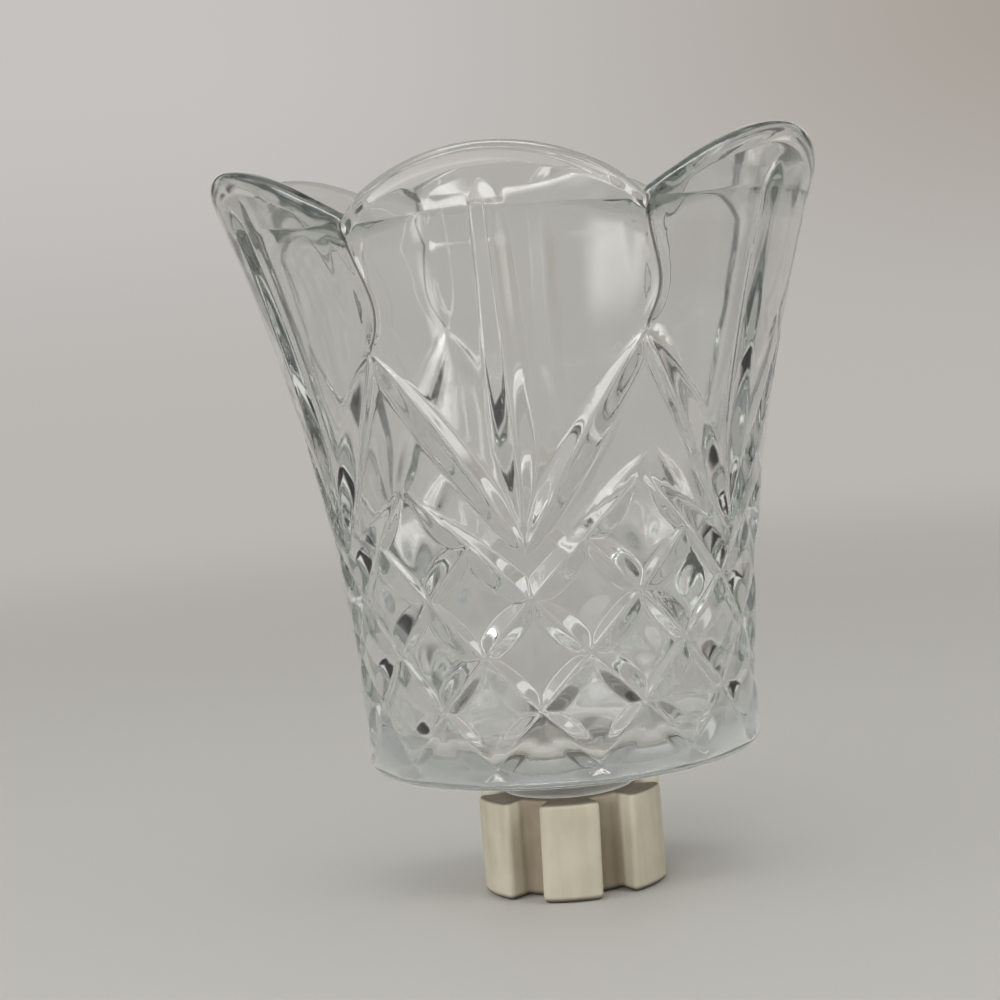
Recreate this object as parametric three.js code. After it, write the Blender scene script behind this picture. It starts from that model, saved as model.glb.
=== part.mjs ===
// Pressed-glass peg votive cup standing on its push-on lobed grommet.
// Millimetres, +Z up. The origin is the centre of the grommet's foot, on the table.

import * as THREE from 'three';

// Cup, with heights measured up from the underside of its base
const panelCount = 6; // scalloped panels round the cup
const baseRadius = 24.2; // outside, at the base
const rimRadius = 38; // outside, at the tips of the scallops
const cupHeight = 73.4; // base to the tips of the scallops
const notchHeight = 66.7; // base to the notches between scallops
const scallopFullness = 1.95; // 2 is a parabola, more is a squarer scallop
const heelRadius = 0.9; // rounding between the base and the wall
const rimBeadRadius = 1.4; // fire-polished edge
const wallThickness = 3.7;
const floorThickness = 2.6;
const floorFilletRadius = 4;
const lipFootHeight = 66.2; // the bevelled lip inside starts here, and lower at the notches
const lipNotchDepth = 0.5;

// Diamond band: crossing mitre cuts that start in a chevron under each fan
const diamondsPerPanel = 2;
const diamondHalfHeight = 6.56;
const latticeFoot = 2.4; // the lowest crossings lie this far above the base
const latticeSteps = 5; // half diamonds from there to the tips of the chevrons
const latticeCut = { depth: 1.05, halfWidth: 2 };
const diamondSag = 0.75; // how far a diamond's face falls away to its corners
const chevronPoint = 7; // the chevron's cuts taper to their tips over this height
const latticeRunOut = 2.2; // the cuts fade out over this height
const footBand = 1.8; // plain foot below their lower ends

// Fan of three mitres in each panel, and the seam between two panels
const fanPointHeight = 27.5; // where the three mitres meet
const fanPeakHeight = 51.3; // tips of the slanted mitres, on the panel seams
const fanTopHeight = 69; // top end of the upright mitre
const slantCut = { depth: 1.25, halfWidth: 2.1 };
const slantFullness = 0.5; // 1 is a lens shape, less is blunter at both ends
const uprightCut = { depth: 1.3, halfWidth: 2.7 };
const uprightFullness = 0.85; // 1 is a plain wedge up from the point
const uprightSwell = 0.3; // share of its height in which the upright mitre grows to its full width
const uprightNarrowing = 0.3; // share of its width that it loses again up to its top
const uprightEnd = 2.5; // its rounded top end
const seamValley = { depth: 0.85, halfWidth: 5 };

// Peg under the cup
const collarLength = 4.4; // base down to the face that seats on the grommet
const collarInset = 3.1; // the collar's edge lies this far inside the lobes of the grommet
const collarRounding = 0.5;
const collarFlare = 0.4; // how much wider the collar is at the base
const pegRadius = 6.3;
const pegTaper = 0.3; // how much slimmer the peg is at its end
const pegEndRounding = 0.8;
const pegRecess = 1; // the peg stops this far above the grommet's foot

// Grommet, sized to grip the socket of a candlestick
const grommetHeight = 12.1;
const grommetRadius = 11.5; // outside, over the lobes
const lobeCount = 6;
const lobeAngle = THREE.MathUtils.degToRad(40.5);
const lobeTurn = THREE.MathUtils.degToRad(1); // how the grommet happens to be turned on the peg
const sleeveWall = 1.9; // between the bore and the slots
const cornerRadius = 0.7;
const edgeChamfer = 0.45;
const boreClearance = 0.15;
const seatGap = 0.1;

// Facets
const facetsPerStep = 4; // columns and rows in half a diamond
const fanRows = 5; // from the chevron up to the slanted cuts
const scallopRows = 6; // from the slanted cuts' tips up to the notches
const heelRows = 2;
const beadRows = 4;
const insideRows = 8;
const filletRows = 4;
const boreSegments = 32;
const arcSegments = 2; // each arc of the outline gets twice as many

// Sizes that follow from the ones above
const panelAngle = (2 * Math.PI) / panelCount;
const stepAngle = panelAngle / (2 * diamondsPerPanel); // half a diamond
const stepsToSeam = diamondsPerPanel; // from a panel's centre line to its seam
const latticeTop = latticeFoot + latticeSteps * diamondHalfHeight;
const outsideColumns = panelCount * 2 * diamondsPerPanel * facetsPerStep;
const insideColumns = panelCount * 2 * facetsPerStep;
const pegColumns = panelCount * facetsPerStep;
const wallRows = latticeSteps * facetsPerStep + fanRows + scallopRows;
const boreRadius = pegRadius + boreClearance;
const sleeveRadius = boreRadius + sleeveWall;
const collarRadius = grommetRadius - collarInset;
const baseHeight = grommetHeight + seatGap + collarLength;
const frontAngle = -Math.PI / 2; // the middle of the front panel faces -Y

// Plain outside of the wall: a parabola that flares towards the rim
function wallRadius(height) {
  return baseRadius + (rimRadius - baseRadius) * (height / cupHeight) ** 2;
}

function insideRadius(height) {
  return wallRadius(height) - wallThickness;
}

// Angle from the centre line of the nearest panel, mirrored to its positive half
function angleInPanel(angle) {
  const turned = angle - frontAngle;
  return Math.abs(turned - panelAngle * Math.round(turned / panelAngle));
}

// Scalloped edge, highest in the middle of a panel and cusped at its seams
function rimHeight(angle) {
  const share = angleInPanel(angle) / (panelAngle / 2);
  return notchHeight + (cupHeight - notchHeight) * (1 - share ** scallopFullness);
}

// Foot of the bevelled lip inside: level, but never above the edge
function lipHeight(angle) {
  return Math.min(lipFootHeight, rimHeight(angle) - rimBeadRadius - lipNotchDepth);
}

// A V cut, given how deep it is here as a share of its full depth and how far aside its bottom line lies
function cutProfile(cut, share, aside) {
  return cut.depth * Math.max(0, share - Math.abs(aside) / cut.halfWidth);
}

// Rises steeply from 0 to 1 and then stays at 1
function swell(share) {
  return 1 - (1 - THREE.MathUtils.clamp(share, 0, 1)) ** 2;
}

// Crossing cuts run along the diagonals of half-diamond steps, below the chevron only, and the faces
// between them are domed
function latticeDepth(angle, height) {
  const across = angle / stepAngle;
  const down = (latticeTop - height) / diamondHalfHeight;
  const belowChevron = across + down - stepsToSeam;
  const nearestLine = (count) => Math.abs(count - 2 * Math.round(count / 2));
  const stepWidth = wallRadius(height) * stepAngle;
  const stepSpan = (stepWidth * diamondHalfHeight) / Math.hypot(stepWidth, diamondHalfHeight);
  const point = swell((latticeTop - height) / chevronPoint);
  const runOut = swell((height - footBand) / latticeRunOut);
  const share = point * runOut;
  if (belowChevron < 0) return cutProfile(latticeCut, share, -belowChevron * stepSpan);
  const rising = nearestLine(belowChevron);
  const falling = nearestLine(across - down - stepsToSeam);
  const sag = ((1 - rising) ** 2 + (1 - falling) ** 2) / 2; // 0 in the middle of a diamond, 1 at its corners
  return Math.max(cutProfile(latticeCut, share, Math.min(rising, falling) * stepSpan), diamondSag * sag * share);
}

// A slanted cut climbs from the fan's point on the panel's centre line to its seam, pointed at both ends
function slantDepth(angle, height) {
  const rise = fanPeakHeight - fanPointHeight;
  const along = THREE.MathUtils.clamp((height - fanPointHeight) / rise, 0, 1);
  const lean = stepsToSeam * stepAngle * wallRadius(height);
  const level = angle * wallRadius(height) - along * lean;
  const share = (4 * along * (1 - along)) ** slantFullness;
  return cutProfile(slantCut, share, (level * rise) / Math.hypot(rise, lean));
}

// The upright cut climbs from the same point, and is pointed only there
function uprightDepth(angle, height) {
  const along = Math.max(0, (height - fanPointHeight) / (fanTopHeight - fanPointHeight));
  const width = Math.min(1, along / uprightSwell) ** uprightFullness * (1 - uprightNarrowing * along);
  const share = width * swell((fanTopHeight - height) / uprightEnd);
  return cutProfile(uprightCut, share, angle * wallRadius(height));
}

// The seam between two panels is a soft valley that deepens from the fan's peak up to the notch
function seamDepth(angle, height) {
  const climb = THREE.MathUtils.clamp((height - fanPeakHeight) / (notchHeight - fanPeakHeight), 0, 1);
  const halfWidth = seamValley.halfWidth * (1 + climb) / 2;
  const aside = Math.min(1, ((panelAngle / 2 - angle) * wallRadius(height)) / halfWidth);
  return seamValley.depth * climb * Math.cos((Math.PI / 2) * aside) ** 2;
}

function cutDepth(angle, height) {
  const folded = angleInPanel(angle);
  return Math.max(
    latticeDepth(folded, height),
    slantDepth(folded, height),
    uprightDepth(folded, height),
    seamDepth(folded, height),
  );
}

function outsidePoint(angle, height) {
  return ringPoint(angle, wallRadius(height) - cutDepth(angle, height), height);
}

function ringPoint(angle, radius, height) {
  return new THREE.Vector3(radius * Math.cos(angle), radius * Math.sin(angle), height);
}

// A ring of points, each worked out from its angle
function ring(columns, pointAt) {
  return Array.from({ length: columns }, (_, i) => pointAt(frontAngle + (2 * Math.PI * i) / columns));
}

function roundRing(columns, radius, height) {
  return ring(columns, (angle) => ringPoint(angle, radius, height));
}

// Peg, collar and underside of the base, from the middle of the peg's end outwards
function pegRings() {
  const pegEnd = pegRecess - baseHeight;
  const tipRadius = pegRadius - pegTaper;
  return [
    roundRing(pegColumns, tipRadius - pegEndRounding, pegEnd),
    roundRing(pegColumns, tipRadius, pegEnd + pegEndRounding),
    roundRing(pegColumns, pegRadius, -collarLength),
    roundRing(pegColumns, collarRadius - collarRounding, -collarLength),
    roundRing(pegColumns, collarRadius, collarRounding - collarLength),
    roundRing(pegColumns, collarRadius + collarFlare, 0),
  ];
}

function heelRings() {
  const rings = [];
  const centre = wallRadius(heelRadius) - heelRadius;
  for (let i = 0; i <= heelRows; i++) {
    const turn = (Math.PI / 2) * (i / heelRows);
    const radius = centre + heelRadius * Math.sin(turn);
    rings.push(roundRing(outsideColumns, radius, heelRadius * (1 - Math.cos(turn))));
  }
  return rings;
}

function spread(from, to, count) {
  return Array.from({ length: count }, (_, i) => THREE.MathUtils.lerp(from, to, i / count));
}

// Heights of the wall's rows at one angle. They are level up to the chevron, and above it they lead
// over to the slanted cuts and then to the scalloped edge, so that every cut follows the facets.
function rowHeights(angle) {
  const across = angleInPanel(angle) / stepAngle;
  const chevron = latticeTop - (stepsToSeam - across) * diamondHalfHeight;
  const slant = THREE.MathUtils.lerp(fanPointHeight, fanPeakHeight, across / stepsToSeam);
  const edge = rimHeight(angle) - rimBeadRadius;
  const levelRows = Math.round((latticeSteps - stepsToSeam + across) * facetsPerStep);
  return [
    ...spread(latticeFoot, chevron, levelRows),
    ...spread(chevron, slant, fanRows),
    ...spread(slant, edge, wallRows - levelRows - fanRows),
    edge,
  ];
}

function wallRings() {
  const rings = [];
  for (let row = 0; row <= wallRows; row++) {
    rings.push(ring(outsideColumns, (angle) => outsidePoint(angle, rowHeights(angle)[row])));
  }
  return rings;
}

// Rounded edge, over the top from the outside to the inside
function beadRings() {
  const rings = [];
  for (let i = 1; i <= beadRows; i++) {
    const turn = (Math.PI * i) / beadRows;
    rings.push(ring(outsideColumns, (angle) => {
      const edge = rimHeight(angle) - rimBeadRadius;
      const middle = wallRadius(edge) - cutDepth(angle, edge) - rimBeadRadius;
      const radius = middle + rimBeadRadius * Math.cos(turn);
      return ringPoint(angle, radius, edge + rimBeadRadius * Math.sin(turn));
    }));
  }
  return rings;
}

// Smooth inside, from the foot of the lip down to the edge of the flat floor
function insideRings() {
  const rings = [];
  const filletTop = floorThickness + floorFilletRadius;
  for (let i = 0; i <= insideRows; i++) {
    rings.push(ring(insideColumns, (angle) => {
      const height = THREE.MathUtils.lerp(lipHeight(angle), filletTop, i / insideRows);
      return ringPoint(angle, insideRadius(height), height);
    }));
  }
  const centre = insideRadius(filletTop) - floorFilletRadius;
  for (let i = 1; i <= filletRows; i++) {
    const turn = (Math.PI / 2) * (i / filletRows);
    const radius = centre + floorFilletRadius * Math.cos(turn);
    rings.push(roundRing(insideColumns, radius, filletTop - floorFilletRadius * Math.sin(turn)));
  }
  return rings;
}

// Closed skin over a stack of rings, with a point on the axis at each end
function skin(rings) {
  const points = rings.flat();
  const triangles = [];
  let count = 0;
  const rows = rings.map((ringPoints) => ringPoints.map(() => count++));

  const cap = (row, turnedOver) => {
    const centre = points.push(new THREE.Vector3(0, 0, points[row[0]].z)) - 1;
    row.forEach((a, i) => {
      const b = row[(i + 1) % row.length];
      triangles.push(...(turnedOver ? [b, a, centre] : [a, b, centre]));
    });
  };
  cap(rows[0], true);
  for (let i = 1; i < rows.length; i++) triangles.push(...band(points, rows[i - 1], rows[i]));
  cap(rows.at(-1), false);

  const geometry = new THREE.BufferGeometry().setFromPoints(points);
  geometry.setIndex(triangles);
  geometry.computeVertexNormals();
  return geometry;
}

// Triangles between two rings of point numbers, whose counts may differ by a whole factor
function band(points, lower, upper) {
  const triangles = [];
  const count = Math.min(lower.length, upper.length);
  const stretch = (row, i) => {
    const parts = row.length / count;
    return Array.from({ length: parts + 1 }, (_, k) => row[(i * parts + k) % row.length]);
  };
  for (let i = 0; i < count; i++) {
    const low = stretch(lower, i);
    const high = stretch(upper, i);
    const corners = [low[0], low.at(-1), high.at(-1), high[0]];
    if (lower.length === upper.length && !splitsFromFirst(corners.map((n) => points[n]))) {
      triangles.push(low[0], low[1], high[0], low[1], high[1], high[0]);
      continue;
    }
    for (let k = 1; k < low.length; k++) triangles.push(low[k - 1], low[k], high.at(-1));
    for (let k = 1; k < high.length; k++) triangles.push(low[0], high[k], high[k - 1]);
  }
  return triangles;
}

// Whether a fold from the first corner to the third follows the mitre cuts better than the other fold
function splitsFromFirst([a, b, c, d]) {
  const radiusOf = (p) => Math.hypot(p.x, p.y);
  const middle = new THREE.Vector3().add(a).add(b).add(c).add(d).divideScalar(4);
  const target = radiusOf(outsidePoint(Math.atan2(middle.y, middle.x), middle.z));
  const first = radiusOf(a.clone().lerp(c, 0.5));
  const second = radiusOf(b.clone().lerp(d, 0.5));
  return Math.abs(first - target) <= Math.abs(second - target);
}

function glassCup() {
  const material = new THREE.MeshStandardMaterial({
    name: 'clear_glass', color: 0xe4ece8, roughness: 0.03, metalness: 0, transparent: true, opacity: 0.35,
  });
  const rings = [...pegRings(), ...heelRings(), ...wallRings(), ...beadRings(), ...insideRings()];
  const mesh = new THREE.Mesh(skin(rings), material);
  mesh.name = 'glass_cup';
  mesh.position.z = baseHeight;
  return mesh;
}

// Outline of the grommet: lobes with rounded corners and slots between them
function grommetOutline() {
  const shape = new THREE.Shape();
  const pitch = (2 * Math.PI) / lobeCount;
  const outerCorner = Math.asin(cornerRadius / (grommetRadius - cornerRadius));
  const innerCorner = Math.asin(cornerRadius / (sleeveRadius + cornerRadius));
  for (let i = 0; i < lobeCount; i++) {
    const start = frontAngle + i * pitch - lobeAngle / 2;
    const end = start + lobeAngle;
    const nextStart = start + pitch;
    const corner = (angle, radius, from, to, clockwise) =>
      shape.absarc(radius * Math.cos(angle), radius * Math.sin(angle), cornerRadius, from, to, clockwise);
    const outer = grommetRadius - cornerRadius;
    const inner = sleeveRadius + cornerRadius;
    corner(start + outerCorner, outer, start - Math.PI / 2, start + outerCorner, false);
    shape.absarc(0, 0, grommetRadius, start + outerCorner, end - outerCorner, false);
    corner(end - outerCorner, outer, end - outerCorner, end + Math.PI / 2, false);
    corner(end + innerCorner, inner, end - Math.PI / 2, end + innerCorner - Math.PI, true);
    shape.absarc(0, 0, sleeveRadius, end + innerCorner, nextStart - innerCorner, false);
    corner(nextStart - innerCorner, inner, nextStart - innerCorner + Math.PI, nextStart + Math.PI / 2, true);
  }
  return shape;
}

// Bore as an even polygon that stays clear of the round peg
function boreOutline() {
  const path = new THREE.Path();
  const points = [];
  for (let i = 0; i < boreSegments; i++) {
    const angle = frontAngle + (2 * Math.PI * i) / boreSegments;
    points.push(new THREE.Vector2(boreRadius * Math.cos(angle), boreRadius * Math.sin(angle)));
  }
  path.setFromPoints(points);
  return path;
}

function pegGrommet() {
  const shape = grommetOutline();
  shape.holes.push(boreOutline());
  const geometry = new THREE.ExtrudeGeometry(shape, {
    depth: grommetHeight - 2 * edgeChamfer,
    curveSegments: arcSegments,
    bevelEnabled: true,
    bevelThickness: edgeChamfer,
    bevelSize: edgeChamfer,
    bevelOffset: -edgeChamfer,
    bevelSegments: 1,
  });
  geometry.translate(0, 0, edgeChamfer);
  const material = new THREE.MeshStandardMaterial({
    name: 'ivory_vinyl', color: 0xcdc3ab, roughness: 0.6, metalness: 0,
  });
  const mesh = new THREE.Mesh(geometry, material);
  mesh.name = 'peg_grommet';
  mesh.rotation.z = lobeTurn;
  return mesh;
}

const votiveHolder = new THREE.Group();
votiveHolder.add(glassCup(), pegGrommet());

export default votiveHolder;
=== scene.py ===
import math

import bpy
import numpy as np
from mathutils import Matrix, Vector, kdtree


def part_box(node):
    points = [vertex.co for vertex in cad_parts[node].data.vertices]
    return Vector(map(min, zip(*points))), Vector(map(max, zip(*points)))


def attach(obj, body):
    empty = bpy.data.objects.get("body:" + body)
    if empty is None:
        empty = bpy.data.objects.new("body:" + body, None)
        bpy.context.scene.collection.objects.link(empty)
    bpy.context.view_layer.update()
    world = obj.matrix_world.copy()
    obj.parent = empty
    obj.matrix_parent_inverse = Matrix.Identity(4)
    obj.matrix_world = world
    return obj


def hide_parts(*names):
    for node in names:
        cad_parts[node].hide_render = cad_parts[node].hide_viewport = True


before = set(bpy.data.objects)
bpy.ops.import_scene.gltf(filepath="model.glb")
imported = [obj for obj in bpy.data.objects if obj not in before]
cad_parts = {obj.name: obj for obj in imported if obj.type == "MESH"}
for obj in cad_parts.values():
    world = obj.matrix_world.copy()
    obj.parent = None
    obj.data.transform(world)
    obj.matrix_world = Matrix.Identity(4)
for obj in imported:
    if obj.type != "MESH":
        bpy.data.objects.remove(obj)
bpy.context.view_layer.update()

scene = bpy.context.scene
scene.view_settings.view_transform = "Standard"
scene.cycles.max_bounces = 64  # long paths inside thick glass
scene.cycles.glossy_bounces = 64
scene.cycles.transmission_bounces = 64
mm = 0.001
weldGap = 0.00001  # points closer than this are one point
samePlace = 2e-5  # radii closer than this are on the same ring
sameLevel = 1e-6


# Small helpers for modelling as by hand

def deselectAll():
    if bpy.context.mode != "OBJECT":
        bpy.ops.object.mode_set(mode="OBJECT")
    bpy.ops.object.select_all(action="DESELECT")


def activePiece(name):
    piece = bpy.context.active_object
    piece.name = name
    piece.data.name = name
    return piece


def editMode(element="VERT"):
    bpy.ops.object.mode_set(mode="EDIT")
    bpy.ops.mesh.select_mode(type=element)


def objectMode():
    bpy.ops.object.mode_set(mode="OBJECT")


def selectFaces(piece, wanted):
    # picks faces by their place or normal, then goes back to edit mode
    objectMode()
    mesh = piece.data
    for part in (mesh.vertices, mesh.edges):
        part.foreach_set("select", np.zeros(len(part), bool))
    picked = np.array([bool(wanted(face)) for face in mesh.polygons])
    mesh.polygons.foreach_set("select", picked)
    editMode("FACE")


def selectEdges(piece, wanted):
    # picks edges by the places of their two ends, then goes back to edit mode
    objectMode()
    mesh = piece.data
    for part in (mesh.vertices, mesh.polygons):
        part.foreach_set("select", np.zeros(len(part), bool))
    places = [vertex.co for vertex in mesh.vertices]
    picked = np.array([bool(wanted(*(places[i] for i in edge.vertices))) for edge in mesh.edges])
    mesh.edges.foreach_set("select", picked)
    editMode("EDGE")


def applyModifier(piece, kind, **settings):
    modifier = piece.modifiers.new(kind.title(), kind)
    for name, value in settings.items():
        setattr(modifier, name, value)
    bpy.ops.object.modifier_apply(modifier=modifier.name)


# Shader sockets that take part in plain arithmetic

class Wire:
    def __init__(self, tree, socket=None):
        self.tree = tree
        self.socket = socket

    def add(self, kind, settings=None, inputs=None, output=0):
        node = self.tree.nodes.new(kind)
        for name, value in (settings or {}).items():
            setattr(node, name, value)
        for name, value in (inputs or {}).items():
            if isinstance(value, Wire):
                self.tree.links.new(value.socket, node.inputs[name])
            else:
                node.inputs[name].default_value = value
        return Wire(self.tree, node.outputs[output] if len(node.outputs) else None)

    def maths(self, operation, *terms):
        return self.add("ShaderNodeMath", {"operation": operation}, dict(enumerate(terms)))

    def __add__(self, other):
        return self.maths("ADD", self, other)

    def __sub__(self, other):
        return self.maths("SUBTRACT", self, other)

    def __rsub__(self, other):
        return self.maths("SUBTRACT", other, self)

    def __mul__(self, other):
        return self.maths("MULTIPLY", self, other)

    def __truediv__(self, other):
        return self.maths("DIVIDE", self, other)

    def __pow__(self, other):
        return self.maths("POWER", self, other)

    __radd__ = __add__
    __rmul__ = __mul__

    def ramp(self, low, high):
        # 0 below low, 1 above high, smooth between
        return self.add("ShaderNodeMapRange", {"interpolation_type": "SMOOTHSTEP"},
                        {"Value": self, "From Min": low, "From Max": high})

    def blend(self, first, second):
        return self.add("ShaderNodeMix", {"data_type": "RGBA"},
                        {0: self, 6: first, 7: second}, output=2)

    def xyz(self, place):
        node = self.add("ShaderNodeSeparateXYZ", None, {0: place}).socket.node
        return [Wire(self.tree, output) for output in node.outputs]

    def noise(self, place, scale, detail, rough=0.5):
        return self.add("ShaderNodeTexNoise", None,
                        {"Vector": place, "Scale": scale, "Detail": detail, "Roughness": rough})


def newFinish(name):
    material = bpy.data.materials.new(name)
    material.use_nodes = True
    material.node_tree.nodes.clear()
    return material, Wire(material.node_tree)


def tint(red, green, blue):
    # a colour as seen on screen, 0 to 255, made linear
    def linear(value):
        value /= 255
        return value / 12.92 if value <= 0.04045 else ((value + 0.055) / 1.055) ** 2.4
    return (linear(red), linear(green), linear(blue), 1.0)


# Camera at the photograph's angle

photoView = {
    "aimHeight": 50.0 * mm,  # point on the cup's axis that the view turns about
    "distance": 298.1 * mm,
    "azimuth": 5.67,
    "elevation": 4.99,
    "roll": 4.98,
    "lens": 87.49,
    "aside": (-5.22 * mm, -2.38 * mm),  # the frame's middle from that point
}


def addCamera():
    azimuth, elevation, roll = (math.radians(photoView[key])
                                for key in ("azimuth", "elevation", "roll"))
    back = Vector((math.sin(azimuth) * math.cos(elevation),
                   -math.cos(azimuth) * math.cos(elevation), math.sin(elevation)))
    level = Vector((0, 0, 1)).cross(back).normalized()
    upright = back.cross(level)
    right = math.cos(roll) * level - math.sin(roll) * upright
    up = math.sin(roll) * level + math.cos(roll) * upright
    middle = Vector((0, 0, photoView["aimHeight"]))
    place = middle + photoView["distance"] * back
    aim = middle + photoView["aside"][0] * right + photoView["aside"][1] * up
    back = (place - aim).normalized()
    right = up.cross(back).normalized()
    up = back.cross(right)
    data = bpy.data.cameras.new("photoCamera")
    data.lens = photoView["lens"]
    data.sensor_width = 36
    data.clip_start = 0.01
    camera = bpy.data.objects.new("photoCamera", data)
    turn = Matrix((right, up, back)).transposed().to_4x4()
    camera.matrix_world = Matrix.Translation(place) @ turn
    scene.collection.objects.link(camera)
    scene.camera = camera


addCamera()
print("camera placed")


# Floor, backdrop and lights

stageSet = {
    "floorRadius": 0.75,
    "floorPoints": 96,
    "sweepRadius": 0.35,
    "sweepSteps": 14,
    "wallHeight": 0.75,
    "floorTint": tint(194, 192, 187),
    "farTint": tint(186, 182, 178),
    "wallTints": (tint(197, 194, 192), tint(164, 156, 147)),  # left and right of the back wall
    "wallTurn": (-16, 16),  # degrees from the back wall's middle over which they blend
    "wallFoot": (0.0, 0.2),  # heights over which the floor's colour turns into the wall's
    "roomTint": tint(44, 42, 41),  # the wall at the sides and behind the camera
    "roomTurn": (42, 88),  # degrees from the back wall's middle over which it darkens
    "offFloor": (0.0, 0.06),  # heights over which the dark parts of the wall begin
    "shadeTint": tint(38, 37, 36),
    # dark openings in the wall: middle, half width and soft edge in degrees from the back wall's middle
    "shades": ((-58, 8, 4), (-35, 4, 3), (33, 4, 3), (52, 8, 4), (95, 8, 5), (-115, 10, 6)),
    "backTint": tint(250, 248, 245),  # a lit band of the back wall, which only the glass shows
    "backShare": 0.75,
    "backFoot": (0.14, 0.2),  # heights over which it begins and ends
    "backHead": (0.42, 0.55),
    "glowSpread": (0.15, 0.5),  # distances from the cup over which the floor starts to glow
    "skyLow": tint(176, 173, 170),
    "skyHigh": tint(205, 205, 203),
    "skyRise": (0.3, 0.9),
    "ceiling": tint(88, 87, 85),  # what the glass shows of it
}

lightAim = Vector((0, 0, 0.05))

# from: azimuth and elevation in degrees as for the camera, and distance; metres and watts.
# The lamps light what is matt and the panes, brightest in the middle, show in the glass.
softLights = {
    "keyLight": {"from": (-62, 36, 0.62), "size": (0.36, 0.36), "power": 1.45},
    "fillLight": {"from": (-16, 14, 0.9), "size": (0.5, 0.3), "power": 3.3},
    "sideLight": {"from": (68, 28, 0.7), "size": (0.36, 0.36), "power": 1.8},
}

glowPanes = {
    "leftPane": {"from": (-48, 46, 0.62), "size": (0.42, 0.46), "strength": 3.2},
    "topPane": {"from": (0, 76, 0.55), "size": (0.9, 0.3), "strength": 9.0},
    "sidePane": {"from": (62, 22, 0.6), "size": (0.08, 0.36), "strength": 5.0},
}
paneColour = (1, 0.99, 0.97, 1)
paneEdge = (0.0, 0.3)  # share of a pane over which it fades out at its edges


def aimed(piece, azimuth, elevation, distance):
    a, e = math.radians(azimuth), math.radians(elevation)
    out = Vector((math.sin(a) * math.cos(e), -math.cos(a) * math.cos(e), math.sin(e)))
    piece.location = lightAim + out * distance
    piece.rotation_euler = (piece.location - lightAim).to_track_quat("Z", "Y").to_euler()


def noCaustics(wire):
    # 1 for what the camera sees straight or in the glass, 0 for light on its way to a matt surface
    return 1 - wire.maths("MINIMUM", wire.add("ShaderNodeLightPath", output="Diffuse Depth"), 1.0)


def rays(wire, *names):
    return [wire.add("ShaderNodeLightPath", output=name) for name in names]


def addStage():
    deselectAll()
    bpy.ops.mesh.primitive_circle_add(vertices=stageSet["floorPoints"], radius=stageSet["floorRadius"],
                                      fill_type="NGON")
    floor = activePiece("floorSweep")
    editMode("EDGE")
    bpy.ops.mesh.select_all(action="SELECT")
    bpy.ops.mesh.region_to_loop()
    radius, steps, rise = stageSet["floorRadius"], stageSet["sweepSteps"], 0.0
    for step in range(1, steps + 1):
        turn = math.pi / 2 * step / steps
        newRise = stageSet["sweepRadius"] * (1 - math.cos(turn))
        newRadius = stageSet["floorRadius"] + stageSet["sweepRadius"] * math.sin(turn)
        grow = newRadius / radius
        bpy.ops.mesh.extrude_region_move(TRANSFORM_OT_translate={"value": (0, 0, newRise - rise)})
        bpy.ops.transform.resize(value=(grow, grow, 1), center_override=(0, 0, newRise))
        radius, rise = newRadius, newRise
    bpy.ops.mesh.extrude_region_move(
        TRANSFORM_OT_translate={"value": (0, 0, stageSet["wallHeight"] - rise)})
    bpy.ops.mesh.select_all(action="SELECT")
    bpy.ops.mesh.normals_make_consistent(inside=True)
    objectMode()
    bpy.ops.object.shade_smooth()
    material, wire = newFinish("paleFloor")
    place = wire.add("ShaderNodeTexCoord", output=3)
    x, y, z = wire.xyz(place)
    turn = wire.maths("ARCTAN2", x, y) * (180 / math.pi)
    away = wire.maths("ABSOLUTE", turn)
    onWall = z.ramp(*stageSet["wallFoot"])
    wallColour = turn.ramp(*stageSet["wallTurn"]).blend(*stageSet["wallTints"])
    colour = onWall.blend(stageSet["farTint"], wallColour)
    camera, glossy, passing = rays(wire, "Is Camera Ray", "Is Glossy Ray", "Is Transmission Ray")
    lit = z.ramp(*stageSet["backFoot"]) * (1 - z.ramp(*stageSet["backHead"]))
    lit = lit * (1 - camera) * stageSet["backShare"]
    colour = lit.blend(colour, stageSet["backTint"])
    offFloor = z.ramp(*stageSet["offFloor"])
    colour = (offFloor * away.ramp(*stageSet["roomTurn"])).blend(colour, stageSet["roomTint"])
    for middle, half, soft in stageSet["shades"]:
        aside = wire.maths("ABSOLUTE", turn - middle)
        shade = offFloor * (1 - aside.ramp(half, half + soft))
        colour = shade.blend(colour, stageSet["shadeTint"])
    spread = (x * x + y * y) ** 0.5
    cloud = wire.noise(place, 7.0, 3.0)
    shader = wire.add("ShaderNodeBsdfPrincipled", None, {
        "Base Color": onWall.blend(stageSet["floorTint"], colour),
        "Roughness": 0.52 + cloud * 0.12, "Specular IOR Level": 0.25})
    # the wall shows its written colour to the camera and in the glass, and the floor keeps the shadow
    glow = wire.add("ShaderNodeEmission", None, {"Color": colour})
    seen = wire.maths("MINIMUM", camera + glossy + passing, 1.0)
    seen = seen * spread.ramp(*stageSet["glowSpread"]) * noCaustics(wire)
    shader = wire.add("ShaderNodeMixShader", None, {0: seen, 1: shader, 2: glow})
    wire.add("ShaderNodeOutputMaterial", None, {"Surface": shader})
    floor.data.materials.append(material)


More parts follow.
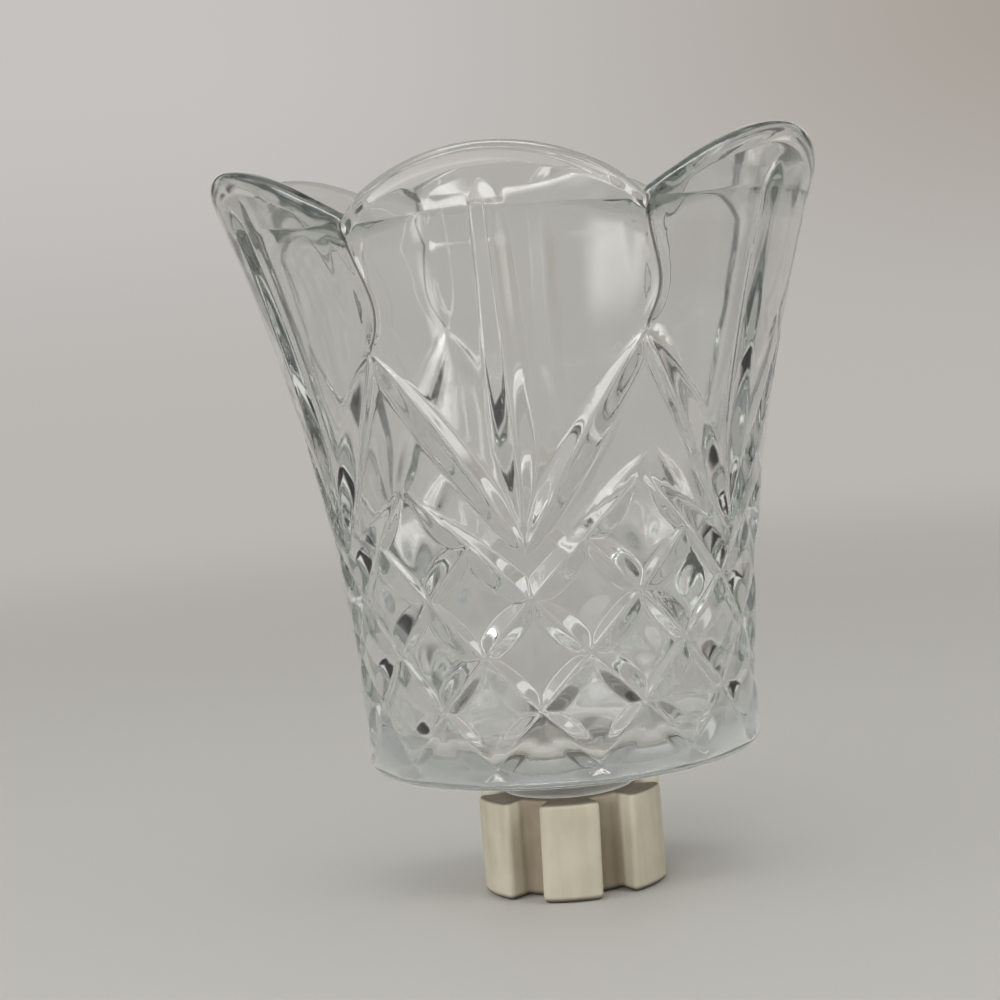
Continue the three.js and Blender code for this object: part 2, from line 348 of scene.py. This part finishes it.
def addLights():
    for name, light in softLights.items():
        data = bpy.data.lights.new(name, "AREA")
        data.shape = "RECTANGLE"
        data.size, data.size_y = light["size"]
        data.energy = light["power"]
        lamp = bpy.data.objects.new(name, data)
        aimed(lamp, *light["from"])
        lamp.visible_camera = False
        lamp.visible_glossy = False
        lamp.visible_transmission = False
        scene.collection.objects.link(lamp)
    for name, light in glowPanes.items():
        deselectAll()
        bpy.ops.mesh.primitive_plane_add(size=1)
        pane = activePiece(name)
        aimed(pane, *light["from"])
        pane.scale = (*light["size"], 1)
        pane.visible_camera = False
        pane.visible_diffuse = False
        pane.visible_shadow = False
        material, wire = newFinish(name)
        place = wire.add("ShaderNodeTexCoord", output=3)
        x, y = (wire.maths("ABSOLUTE", side) for side in wire.xyz(place)[:2])
        inside = (0.5 - x).ramp(*paneEdge) * (0.5 - y).ramp(*paneEdge) * noCaustics(wire)
        glow = wire.add("ShaderNodeEmission", None, {"Color": paneColour, "Strength": light["strength"]})
        clear = wire.add("ShaderNodeBsdfTransparent")
        shader = wire.add("ShaderNodeMixShader", None, {0: inside, 1: clear, 2: glow})
        wire.add("ShaderNodeOutputMaterial", None, {"Surface": shader})
        pane.data.materials.append(material)


def addSky():
    world = bpy.data.worlds.new("studioSky")
    scene.world = world
    world.use_nodes = True
    world.node_tree.nodes.clear()
    wire = Wire(world.node_tree)
    direction = wire.add("ShaderNodeTexCoord", output=0)
    height = wire.xyz(direction)[2]
    colour = height.ramp(*stageSet["skyRise"]).blend(stageSet["skyLow"], stageSet["skyHigh"])
    glossy, passing = rays(wire, "Is Glossy Ray", "Is Transmission Ray")
    inGlass = wire.maths("MINIMUM", glossy + passing, 1.0) * noCaustics(wire)
    colour = inGlass.blend(colour, stageSet["ceiling"])
    shade = wire.add("ShaderNodeBackground", None, {"Color": colour, "Strength": 1.0})
    wire.add("ShaderNodeOutputWorld", None, {"Surface": shade})


addStage()
addLights()
addSky()
print("stage and lights made")


# Finishes

glassLook = {
    "colour": (0.99, 0.995, 0.99, 1),
    "smudgeColour": (0.955, 0.965, 0.955, 1),
    "smudgeNoise": (55.0, 4.0, 0.6),  # scale, detail, roughness
    "smudgeRange": (0.52, 0.78),
    "smudgeRoughness": 0.022,
    "speckNoise": (900.0, 2.0),
    "speckRange": (0.70, 0.80),
    "speckRoughness": 0.03,
    "insideDepth": (2.7 * mm, 3.3 * mm),  # depth under the plain outside that counts as the inside
    "insideHeight": (2 * mm, 3 * mm),
    "ior": 1.52,
    "castColour": (0.80, 0.82, 0.81, 1),  # grey-green cast in thick glass
    "castDensity": 64.0,
    "waviness": 0.05,
    "waveNoise": (110.0, 1.0),
    "waveHeight": 0.001,
    "haze": 0.05,  # roughness that candles leave on the inside
    "crease": (0.12, 0.115, 0.11, 1),  # painted shade: the fine dark line down a seam, where the crease shows dark
    "seamShadeWidth": (0.1 * mm, 0.24 * mm),
    "seamShadeEnds": ((0.02, 0.06), (0.96, 1.0)),  # shares of the seam over which it starts and stops
    "underside": 0.7,  # the base and peg are left as pressed, and scratched in use
    "undersideHeight": (0.02 * mm, 0.12 * mm),
    "collarShade": (0.34, 0.33, 0.3, 1),  # painted shade on the collar and peg under the base
    "collarShadeDepth": (3.2 * mm, 2.0 * mm),
}


def clearGlass():
    material, wire = newFinish("clearGlass")
    place = wire.add("ShaderNodeTexCoord", output=3)
    smudge = wire.noise(place, *glassLook["smudgeNoise"]).ramp(*glassLook["smudgeRange"])
    speck = wire.noise(place, *glassLook["speckNoise"]).ramp(*glassLook["speckRange"])
    colour = smudge.blend(glassLook["colour"], glassLook["smudgeColour"])
    x, y, z = wire.xyz(place)
    rise = z - (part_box("glass_cup")[1].z - cup["height"] * mm)
    lift = wire.maths("MAXIMUM", rise, 0.0)
    # painted shade: below the base the glass darkens down the collar and peg
    aboveCollarShade = rise.ramp(*(-depth for depth in glassLook["collarShadeDepth"]))
    colour = aboveCollarShade.blend(glassLook["collarShade"], colour)
    flare = (cup["rimRadius"] - cup["baseRadius"]) * mm
    wall = cup["baseRadius"] * mm + flare * (lift / (cup["height"] * mm)) ** 2
    depth = wall - (x * x + y * y) ** 0.5
    inside = depth.ramp(*glassLook["insideDepth"]) * lift.ramp(*glassLook["insideHeight"])
    # painted shade: a dark line down each seam that follows the crease's wander and is kept off the
    # inside
    turned = wire.maths("ARCTAN2", y, x) / panelAngle - (frontAngle / panelAngle + 0.5)
    fromSeam = (turned - wire.maths("ROUND", turned)) * panelAngle * wall
    climb = (lift - cup["fanPeak"] * mm) / ((cup["notchHeight"] - cup["fanPeak"]) * mm)
    low = wire.maths("MINIMUM", wire.maths("MAXIMUM", 1 - climb, 0.0), 1.0)
    lean, bulge = cup["wanderShape"]
    stray = cup["seamWander"] * mm * wire.maths("SINE", math.pi * low ** lean) ** bulge
    offSeamShade = wire.maths("ABSOLUTE", fromSeam - stray).ramp(*glassLook["seamShadeWidth"])
    starts, stops = (climb.ramp(*ends) for ends in glassLook["seamShadeEnds"])
    offSeamShade = 1 - (1 - offSeamShade) * starts * (1 - stops) * (1 - inside)
    colour = offSeamShade.blend(glassLook["crease"], colour)
    under = 1 - lift.ramp(*glassLook["undersideHeight"])
    rough = smudge * glassLook["smudgeRoughness"] + speck * glassLook["speckRoughness"]
    rough = rough + inside * glassLook["haze"] + under * glassLook["underside"]
    normal = wire.add("ShaderNodeBump", None, {
        "Strength": glassLook["waviness"], "Distance": glassLook["waveHeight"],
        "Height": wire.noise(place, *glassLook["waveNoise"])})
    shader = wire.add("ShaderNodeBsdfPrincipled", None, {
        "Base Color": colour, "Roughness": rough, "IOR": glassLook["ior"],
        "Transmission Weight": 1.0, "Normal": normal})
    cast = wire.add("ShaderNodeVolumeAbsorption", None,
                    {"Color": glassLook["castColour"], "Density": glassLook["castDensity"]})
    wire.add("ShaderNodeOutputMaterial", None, {"Surface": shader, "Volume": cast})
    return material


ivoryLook = {
    "colour": tint(206, 199, 179),
    "aged": tint(191, 183, 162),
    "slotShadeTint": tint(146, 133, 113),
    "slotShadeRadius": (8.6 * mm, 9.8 * mm),  # painted shade fades out from the slots' floor to here
    "contactShade": tint(92, 83, 69),  # painted contact shadow under the cup's collar and along the lower edge
    "topShadeDepth": (0.4 * mm, 0.1 * mm),
    "footShadeHeight": (0.2 * mm, 0.9 * mm),  # painted contact shadow along the lower edge
    "grain": 0.12,
    "grainHeight": 0.0004,
    "drawnOut": (1, 1, 0.12),  # the streaks run up and down
    "streakNoise": (420.0, 3.0, 0.6),  # scale, detail, roughness
    "patchNoise": (160.0, 3.0, 0.55),
    "grainNoise": (2600.0, 2.0, 0.6),
    "agedRange": (0.38, 0.66),
}


def ivoryRubber():
    material, wire = newFinish("ivoryRubber")
    place = wire.add("ShaderNodeTexCoord", output=3)
    across = wire.add("ShaderNodeVectorMath", {"operation": "MULTIPLY"}, {0: place, 1: (1, 1, 0)})
    radius = wire.add("ShaderNodeVectorMath", {"operation": "LENGTH"}, {0: across}, output=1)
    drawn = wire.add("ShaderNodeMapping", None, {"Vector": place, "Scale": ivoryLook["drawnOut"]})
    streak = wire.noise(drawn, *ivoryLook["streakNoise"])
    patch = wire.noise(place, *ivoryLook["patchNoise"])
    grain = wire.noise(place, *ivoryLook["grainNoise"])
    # painted shade darkens the slots' floor between the lobes, mottled; the same mask also roughens it
    slot = 1 - radius.ramp(*ivoryLook["slotShadeRadius"])
    recessShade = wire.maths("MINIMUM", slot * (0.55 + 0.6 * patch), 1.0)
    age = (0.55 * patch + 0.45 * streak).ramp(*ivoryLook["agedRange"])
    colour = age.blend(ivoryLook["colour"], ivoryLook["aged"])
    colour = recessShade.blend(colour, ivoryLook["slotShadeTint"])
    z = wire.xyz(place)[2]
    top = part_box("peg_grommet")[1].z
    # painted shade: the top face darkens just under the collar and the lowest edge darkens where it
    # meets the floor, both mottled
    contactShade = z.ramp(*(top - depth for depth in ivoryLook["topShadeDepth"]))
    footShade = 1 - z.ramp(*(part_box("peg_grommet")[0].z + height for height in ivoryLook["footShadeHeight"]))
    colour = ((contactShade + footShade) * (0.75 + 0.5 * patch)).blend(colour, ivoryLook["contactShade"])
    rough = 0.5 + 0.16 * patch + 0.12 * recessShade
    relief = 0.5 * grain + 0.8 * streak
    normal = wire.add("ShaderNodeBump", None, {
        "Strength": ivoryLook["grain"], "Distance": ivoryLook["grainHeight"], "Height": relief})
    shader = wire.add("ShaderNodeBsdfPrincipled", None, {
        "Base Color": colour, "Roughness": rough, "Specular IOR Level": 0.35, "Normal": normal})
    wire.add("ShaderNodeOutputMaterial", None, {"Surface": shader})
    return material


# Glass cup: a section spun round the axis, whose rings then take the cut pattern.
# Millimetres, with heights measured up from the underside of its base.

cup = {
    "panels": 6,
    "baseRadius": 24.2,
    "rimRadius": 38.0,
    "height": 73.4,
    "notchHeight": 66.7,
    "scallopFullness": 1.95,
    "heelRadius": 1.3,
    "heelCorner": 16.0,  # degrees between the heel and the underside
    "heelGuards": (0.6, 0.05),  # rings this far from its inner corner keep that crisp
    "heelSpacing": 1.15,
    "beadRadius": 1.4,
    "beadFlatness": 0.62,  # 1 is a round edge, less is a flatter one with tighter corners
    "wall": 3.7,
    "floor": 2.6,
    "floorFillet": 4.0,
    "lipFoot": 66.2,
    "lipNotchDepth": 0.5,
    "lipStep": 0.22,
    "lipSpacing": 0.8,
    "diamondHalfHeight": 6.56,
    "latticeBottom": 2.4,
    "latticeSteps": 5,  # half diamonds from there to the chevron's tips
    "chevronPoint": 7.0,
    "latticeFoot": 1.0,
    "latticeRunOut": 1.5,
    "fanPoint": 27.5,
    "fanPeak": 51.3,
    "fanTop": 69.0,
    "uprightSwell": 0.3,
    "uprightNarrowing": 0.3,
    "uprightEnd": 2.5,
    "latticeCut": (1.05, 2.0),  # depth, half width
    "slantCut": (1.25, 2.1),
    "uprightCut": (1.3, 2.7),
    "seamCut": (0.85, 5.0),
    "seamCrease": (0.45, 1.1),
    "seamWander": 1.9,  # how far the crease strays from the seam's middle
    "wanderShape": (1.6, 1.3),  # how low it strays most, and how sharply
    "pillow": 0.75,  # how far the diamonds' faces fall away to their corners
    "slantFullness": 0.5,
    "uprightFullness": 0.85,
    "cutBottom": 0.12,  # rounding of the cuts' bottoms and edges by the fire polish
    "cutEdge": 0.05,
    "cutCrossing": 0.08,
    "waves": 0.12,  # unevenness of the pressed inside
    "pegProfile": [  # radius and height, from the peg's end to the underside
        (0, -15.6), (2.6, -15.6), (5.2, -15.6), (5.5, -15.54), (5.77, -15.37), (5.94, -15.11),
        (6.0, -14.8), (6.1, -11.6), (6.2, -8.2), (6.28, -5.2), (6.31, -4.72), (6.4, -4.59),
        (6.6, -4.55), (7.2, -4.55),  # the collar is pressed a little into the rubber
        (7.75, -4.53), (8.05, -4.42), (8.27, -4.2), (8.38, -3.9), (8.42, -3.4), (8.48, -2.4),
        (8.55, -1.5), (8.65, -0.8), (8.9, -0.3), (9.3, -0.06), (9.9, 0), (13, 0), (17, 0)],
    "columnsPerStep": 18,
    "fanRows": 20,
    "scallopRows": 22,
    "heelRows": 6,
    "footRows": 4,
    "beadRows": 14,
    "lipRows": 10,
    "insideRows": 20,
    "filletRows": 6,
    "floorRows": 3,
}

panelAngle = 2 * math.pi / cup["panels"]
stepAngle = panelAngle / 4
stepsToSeam = 2
latticeTop = cup["latticeBottom"] + cup["latticeSteps"] * cup["diamondHalfHeight"]
frontAngle = -math.pi / 2


def wallRadius(height):
    flare = cup["rimRadius"] - cup["baseRadius"]
    return cup["baseRadius"] + flare * (height / cup["height"]) ** 2


def angleInPanel(angle):
    turned = angle - frontAngle
    return np.abs(turned - panelAngle * np.round(turned / panelAngle))


def rimHeight(angle):
    share = angleInPanel(angle) / (panelAngle / 2)
    rise = cup["height"] - cup["notchHeight"]
    return cup["notchHeight"] + rise * (1 - share ** cup["scallopFullness"])


def swell(share):
    return 1 - (1 - np.clip(share, 0, 1)) ** 2


def cutProfile(cut, share, aside):
    depth, halfWidth = cut
    bottom = cup["cutBottom"] * np.clip(share, 0.05, 1)
    soft = np.sqrt(aside ** 2 + bottom ** 2) - bottom * 0.5
    level = share - soft / halfWidth
    eased = 0.5 * (level + np.sqrt(level ** 2 + cup["cutEdge"] ** 2))
    return depth * eased * np.clip(share * 8, 0, 1)


def deeper(first, second):
    # the deeper of two cuts, with their meeting line a little rounded
    share = np.clip(1 - np.abs(first - second) / cup["cutCrossing"], 0, 1)
    return np.maximum(first, second) + share ** 2 * cup["cutCrossing"] / 4


def latticeDepth(angle, height):
    across = angle / stepAngle
    down = (latticeTop - height) / cup["diamondHalfHeight"]
    rising = across + down - stepsToSeam
    falling = across - down - stepsToSeam
    width = wallRadius(height) * stepAngle
    scale = width * cup["diamondHalfHeight"] / np.hypot(width, cup["diamondHalfHeight"])
    share = swell((latticeTop - height) / cup["chevronPoint"])
    share = share * swell((height - cup["latticeFoot"]) / cup["latticeRunOut"])

    def nearest(count):
        return np.abs(count - 2 * np.round(count / 2))
    first = np.where(rising < 0, -rising, nearest(rising))
    second = nearest(falling)
    below = np.where(rising < 0, 0, 1)  # the other cuts stop at the chevron
    depth = deeper(cutProfile(cup["latticeCut"], share, first * scale),
                   cutProfile(cup["latticeCut"], share, second * scale) * below)
    sag = ((1 - first) ** 2 + (1 - second) ** 2) / 2  # 0 in the middle of a diamond, 1 at its corners
    return deeper(depth, cup["pillow"] * sag * share * below)


def slantDepth(angle, height):
    rise = cup["fanPeak"] - cup["fanPoint"]
    along = np.clip((height - cup["fanPoint"]) / rise, 0, 1)
    lean = stepsToSeam * stepAngle * wallRadius(height)
    aside = (angle * wallRadius(height) - along * lean) * rise / np.hypot(rise, lean)
    return cutProfile(cup["slantCut"], (4 * along * (1 - along)) ** cup["slantFullness"], aside)


def uprightDepth(angle, height):
    along = np.clip((height - cup["fanPoint"]) / (cup["fanTop"] - cup["fanPoint"]), 0, 1)
    share = np.clip(along / cup["uprightSwell"], 0, 1) ** cup["uprightFullness"]
    share = share * (1 - cup["uprightNarrowing"] * along)
    share = share * swell((cup["fanTop"] - height) / cup["uprightEnd"])
    return cutProfile(cup["uprightCut"], share, angle * wallRadius(height))


def seamDepth(angle, height):
    # a soft valley between the panels, with a fine crease that wanders down it
    turned = (angle - frontAngle) / panelAngle - 0.5
    fromSeam = (turned - np.round(turned)) * panelAngle * wallRadius(height)
    climb = np.clip((height - cup["fanPeak"]) / (cup["notchHeight"] - cup["fanPeak"]), 0, 1)
    depth, halfWidth = cup["seamCut"]
    aside = np.abs(fromSeam) / (halfWidth * (0.5 + 0.5 * climb))
    valley = depth * climb * np.cos(np.pi / 2 * np.clip(aside, 0, 1)) ** 2
    lean, bulge = cup["wanderShape"]
    stray = cup["seamWander"] * np.sin(np.pi * (1 - climb) ** lean) ** bulge
    crease = cutProfile(cup["seamCrease"], np.clip(climb * 8, 0, 1), np.abs(fromSeam - stray))
    return valley + crease * np.where(climb > 0, 1, 0)


def cutDepth(angle, height):
    folded = angleInPanel(angle)
    depth = deeper(latticeDepth(folded, height), slantDepth(folded, height))
    depth = deeper(depth, uprightDepth(folded, height))
    return deeper(depth, seamDepth(angle, height))


def waves(angle, height):
    # slow unevenness that pressed glass has where the plunger ran
    a = 3 * angle + 0.11 * height + 0.7 * np.sin(2 * angle + 0.05 * height)
    b = 5 * angle - 0.17 * height + 0.9 * np.sin(angle + 0.13 * height)
    c = 0.42 * height + 2 * angle
    return cup["waves"] * (np.sin(a) + 0.7 * np.sin(b) + 0.5 * np.sin(c))


def wallHeights(angles):
    # one column of heights for each angle: level up to the chevron, then along the slanted cuts
    # and the edge
    count = cup["latticeSteps"] * cup["columnsPerStep"] + cup["fanRows"] + cup["scallopRows"]
    heights = np.empty((count + 1, len(angles)))
    edges = rimHeight(angles) - cup["beadRadius"]
    for i, angle in enumerate(angles):
        across = angleInPanel(angle) / stepAngle
        chevron = latticeTop - (stepsToSeam - across) * cup["diamondHalfHeight"]
        slant = cup["fanPoint"] + (cup["fanPeak"] - cup["fanPoint"]) * across / stepsToSeam
        level = round((cup["latticeSteps"] - stepsToSeam + across) * cup["columnsPerStep"])
        middle = level + cup["fanRows"]
        heights[:level + 1, i] = np.linspace(cup["latticeBottom"], chevron, level + 1)
        heights[level:middle + 1, i] = np.linspace(chevron, slant, cup["fanRows"] + 1)
        heights[middle:, i] = np.linspace(slant, edges[i], count - middle + 1)
    return heights


def cupRings(angles):
    # radius and height of every ring, from the peg's end round to the middle of the inside floor
    radii, heights = [], []

    def ring(radius, height):
        radii.append(np.broadcast_to(radius, angles.shape).astype(float))
        heights.append(np.broadcast_to(height, angles.shape).astype(float))

    for radius, height in cup["pegProfile"]:
        ring(radius, height)
    heel = cup["heelRadius"]
    centre = wallRadius(heel) - heel
    first = math.radians(cup["heelCorner"])
    corner = centre + heel * math.sin(first)
    farGuard, guard = cup["heelGuards"]
    ring(corner - farGuard, 0)
    ring(corner - guard, 0)
    for i in range(cup["heelRows"]):
        turn = first + (math.pi / 2 - first) * (i / cup["heelRows"]) ** cup["heelSpacing"]
        height = heel * (1 - math.cos(turn) / math.cos(first))
        depth = cutDepth(angles, np.full(angles.shape, height))
        ring(centre + heel * math.sin(turn) - depth * math.sin(turn), height)
        if i == 0:
            ring(corner + guard, guard * math.tan(first))
    band = cup["latticeBottom"] - heel
    bandRows = [np.full(angles.shape, heel + band * i / cup["footRows"])
                for i in range(cup["footRows"])]
    for row in [*bandRows, *wallHeights(angles)]:
        ring(wallRadius(row) - cutDepth(angles, row), row)
    edge = rimHeight(angles) - cup["beadRadius"]
    middle = wallRadius(edge) - cutDepth(angles, edge) - cup["beadRadius"]
    for i in range(1, cup["beadRows"] + 1):
        turn = math.pi * i / cup["beadRows"]
        out = math.copysign(abs(math.cos(turn)) ** cup["beadFlatness"], math.cos(turn))
        up = math.sin(turn) ** cup["beadFlatness"] if i < cup["beadRows"] else 0
        ring(middle + cup["beadRadius"] * out, edge + cup["beadRadius"] * up)
    lipHeight = np.minimum(cup["lipFoot"], edge - cup["lipNotchDepth"])
    lipRadius = wallRadius(lipHeight) - cup["wall"]
    topRadius = middle - cup["beadRadius"]
    for i in range(1, cup["lipRows"]):
        share = (i / cup["lipRows"]) ** cup["lipSpacing"]
        ring(topRadius + (lipRadius + cup["lipStep"] - topRadius) * share,
             edge + (lipHeight - edge) * share)
    filletTop = cup["floor"] + cup["floorFillet"]
    for i in range(cup["insideRows"] + 1):
        share = i / cup["insideRows"]
        height = lipHeight + (filletTop - lipHeight) * share
        fade = math.sin(math.pi * share) ** 0.5 if 0 < share < 1 else 0
        ring(wallRadius(height) - cup["wall"] + fade * waves(angles, height), height)
    centre = wallRadius(filletTop) - cup["wall"] - cup["floorFillet"]
    for i in range(1, cup["filletRows"] + 1):
        turn = math.pi / 2 * i / cup["filletRows"]
        ring(centre + cup["floorFillet"] * math.cos(turn),
             filletTop - cup["floorFillet"] * math.sin(turn))
    for i in range(1, cup["floorRows"] + 1):
        ring(centre * (1 - i / cup["floorRows"]), cup["floor"])
    return np.array(radii), np.array(heights)


def makeCup():
    columns = cup["panels"] * 4 * cup["columnsPerStep"]
    angles = frontAngle + 2 * math.pi * np.arange(columns) / columns
    radii, heights = cupRings(angles)
    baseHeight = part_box("glass_cup")[1].z - cup["height"] * mm

    # the section in the middle of the front panel, drawn point by point and spun
    deselectAll()
    bpy.ops.mesh.primitive_plane_add(size=0.001)
    piece = activePiece("glassCup")
    editMode()
    bpy.ops.mesh.select_all(action="SELECT")
    bpy.ops.mesh.merge(type="CENTER")
    section = [Vector((0, -radius * mm, height * mm))
               for radius, height in zip(radii[:, 0], heights[:, 0])]
    bpy.ops.transform.translate(value=section[0])
    for point, last in zip(section[1:], section):
        bpy.ops.mesh.extrude_region_move(TRANSFORM_OT_translate={"value": point - last})
    bpy.ops.mesh.select_all(action="SELECT")
    bpy.ops.mesh.spin(steps=columns, angle=2 * math.pi, center=(0, 0, 0), axis=(0, 0, 1))
    objectMode()

    # each ring of the spun shape takes its place on the cut surface
    mesh = piece.data
    places = np.empty(len(mesh.vertices) * 3)
    mesh.vertices.foreach_get("co", places)
    places = places.reshape(-1, 3)
    tree = kdtree.KDTree(len(section))
    for i, point in enumerate(section):
        tree.insert((-point.y, 0, point.z), i)
    tree.balance()
    spread = np.hypot(places[:, 0], places[:, 1])
    rows = np.array([tree.find((r, 0, z))[1] for r, z in zip(spread, places[:, 2])])
    turned = np.arctan2(places[:, 1], places[:, 0]) - frontAngle
    cols = np.round(turned / (2 * math.pi) * columns).astype(int) % columns
    places[:, 0] = radii[rows, cols] * np.cos(angles[cols]) * mm
    places[:, 1] = radii[rows, cols] * np.sin(angles[cols]) * mm
    places[:, 2] = heights[rows, cols] * mm + baseHeight
    mesh.vertices.foreach_set("co", places.ravel())
    mesh.update()
    editMode()
    bpy.ops.mesh.select_all(action="SELECT")
    bpy.ops.mesh.remove_doubles(threshold=weldGap)
    bpy.ops.mesh.normals_make_consistent(inside=False)
    objectMode()
    foldAlongCuts(piece, baseHeight)
    bpy.ops.object.shade_smooth()
    return piece


def foldAlongCuts(piece, baseHeight):
    # each four-sided face is folded along the diagonal that lies closer to the cut surface
    mesh = piece.data
    places = np.empty(len(mesh.vertices) * 3)
    mesh.vertices.foreach_get("co", places)
    places = places.reshape(-1, 3) / mm - np.array([0, 0, baseHeight / mm])
    corners = np.array([list(face.vertices) if len(face.vertices) == 4 else [0, 0, 0, 0]
                        for face in mesh.polygons])
    four = np.array([len(face.vertices) == 4 for face in mesh.polygons])
    middle = places[corners].mean(1)
    around = np.arctan2(middle[:, 1], middle[:, 0])
    target = wallRadius(middle[:, 2]) - cutDepth(around, middle[:, 2])
    first = places[corners[:, [0, 2]]].mean(1)
    second = places[corners[:, [1, 3]]].mean(1)
    firstOff = np.abs(np.hypot(first[:, 0], first[:, 1]) - target)
    secondOff = np.abs(np.hypot(second[:, 0], second[:, 1]) - target)
    straight = four & (firstOff <= secondOff)
    selectFaces(piece, lambda face: straight[face.index])
    bpy.ops.mesh.quads_convert_to_tris(quad_method="FIXED", ngon_method="BEAUTY")
    selectFaces(piece, lambda face: len(face.vertices) == 4)
    bpy.ops.mesh.quads_convert_to_tris(quad_method="FIXED_ALTERNATE", ngon_method="BEAUTY")
    objectMode()


cupPiece = makeCup()
cupPiece.data.materials.append(clearGlass())
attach(cupPiece, "cup")
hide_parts("glass_cup")
cupPiece.visible_shadow = False  # clear glass lets the lamps through
print("glass cup made:", len(cupPiece.data.polygons), "faces")


# Lobed grommet, in millimetres

grommet = {
    "radius": 11.5,
    "sleeve": 8.35,
    "bore": 6.45,
    "lobes": 6,
    "segments": 60,
    "lobeSegments": 6,
    "lobeAngle": 40.5,
    "turn": 3.5,
    "twist": (-1.3, 1.3),  # degrees at the bottom and the top
    "edgeRound": 0.7,
    "edgeAngle": 40,  # edges sharper than this many degrees are rounded
    "shadeAngle": 35,
    "longestEdge": 1.2,  # of the sleeve's own rings
}


def makeGrommet():
    low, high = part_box("peg_grommet")
    height = high.z - low.z
    pitch = 2 * math.pi / grommet["lobes"]
    deselectAll()
    bpy.ops.mesh.primitive_cylinder_add(
        vertices=grommet["segments"], radius=grommet["sleeve"] * mm, depth=height,
        end_fill_type="NOTHING", location=(0, 0, low.z + height / 2))
    piece = activePiece("pegGrommet")
    bpy.ops.object.transform_apply(location=True, rotation=True, scale=True)

    def fromLobe(place):
        angle = math.atan2(place.y, place.x) - frontAngle
        return angle - pitch * round(angle / pitch)

    half = math.pi * grommet["lobeSegments"] / grommet["segments"]
    selectFaces(piece, lambda face: abs(fromLobe(face.center)) < half)
    bpy.ops.mesh.extrude_region_shrink_fatten(
        TRANSFORM_OT_shrink_fatten={"value": (grommet["radius"] - grommet["sleeve"]) * mm})
    objectMode()
    widen = math.radians(grommet["lobeAngle"]) / (2 * half)
    for vertex in piece.data.vertices:
        place = vertex.co
        spread = math.hypot(place.x, place.y)
        if spread > (grommet["sleeve"] + 0.5) * mm:
            offset = fromLobe(place)
            share = (place.z - low.z) / height
            angle = math.atan2(place.y, place.x) + offset * (widen - 1)
            angle += math.radians(grommet["twist"][0] * (1 - share) + grommet["twist"][1] * share)
            radius = grommet["radius"] * mm
            vertex.co = (radius * math.cos(angle), radius * math.sin(angle), place.z)

    # rings at both ends, and the bore between them
    def onRing(radius, *ends):
        return all(abs(math.hypot(p.x, p.y) - radius * mm) < samePlace for p in ends)

    share = grommet["bore"] / grommet["sleeve"]
    for end in (low.z, high.z):
        selectEdges(piece, lambda a, b: onRing(grommet["sleeve"], a, b)
                    and all(abs(p.z - end) < sameLevel for p in (a, b))
                    and (a - b).length < grommet["longestEdge"] * mm)
        bpy.ops.mesh.extrude_region_move(TRANSFORM_OT_translate={"value": (0, 0, 0)})
        bpy.ops.transform.resize(value=(share, share, 1), center_override=(0, 0, end))
    selectEdges(piece, lambda a, b: onRing(grommet["bore"], a, b) and abs(a.z - b.z) < sameLevel)
    bpy.ops.mesh.bridge_edge_loops()
    bpy.ops.mesh.select_all(action="SELECT")
    bpy.ops.mesh.remove_doubles(threshold=weldGap)
    bpy.ops.mesh.normals_make_consistent(inside=False)
    bpy.ops.transform.rotate(value=-math.radians(grommet["turn"]), orient_axis="Z",
                             center_override=(0, 0, 0))
    objectMode()
    applyModifier(piece, "BEVEL", width=grommet["edgeRound"] * mm, segments=4, limit_method="ANGLE",
                  angle_limit=math.radians(grommet["edgeAngle"]), use_clamp_overlap=True)
    bpy.ops.object.shade_smooth_by_angle(angle=math.radians(grommet["shadeAngle"]))
    return piece


grommetPiece = makeGrommet()
grommetPiece.data.materials.append(ivoryRubber())
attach(grommetPiece, "grommet")
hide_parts("peg_grommet")
print("grommet made:", len(grommetPiece.data.polygons), "faces")
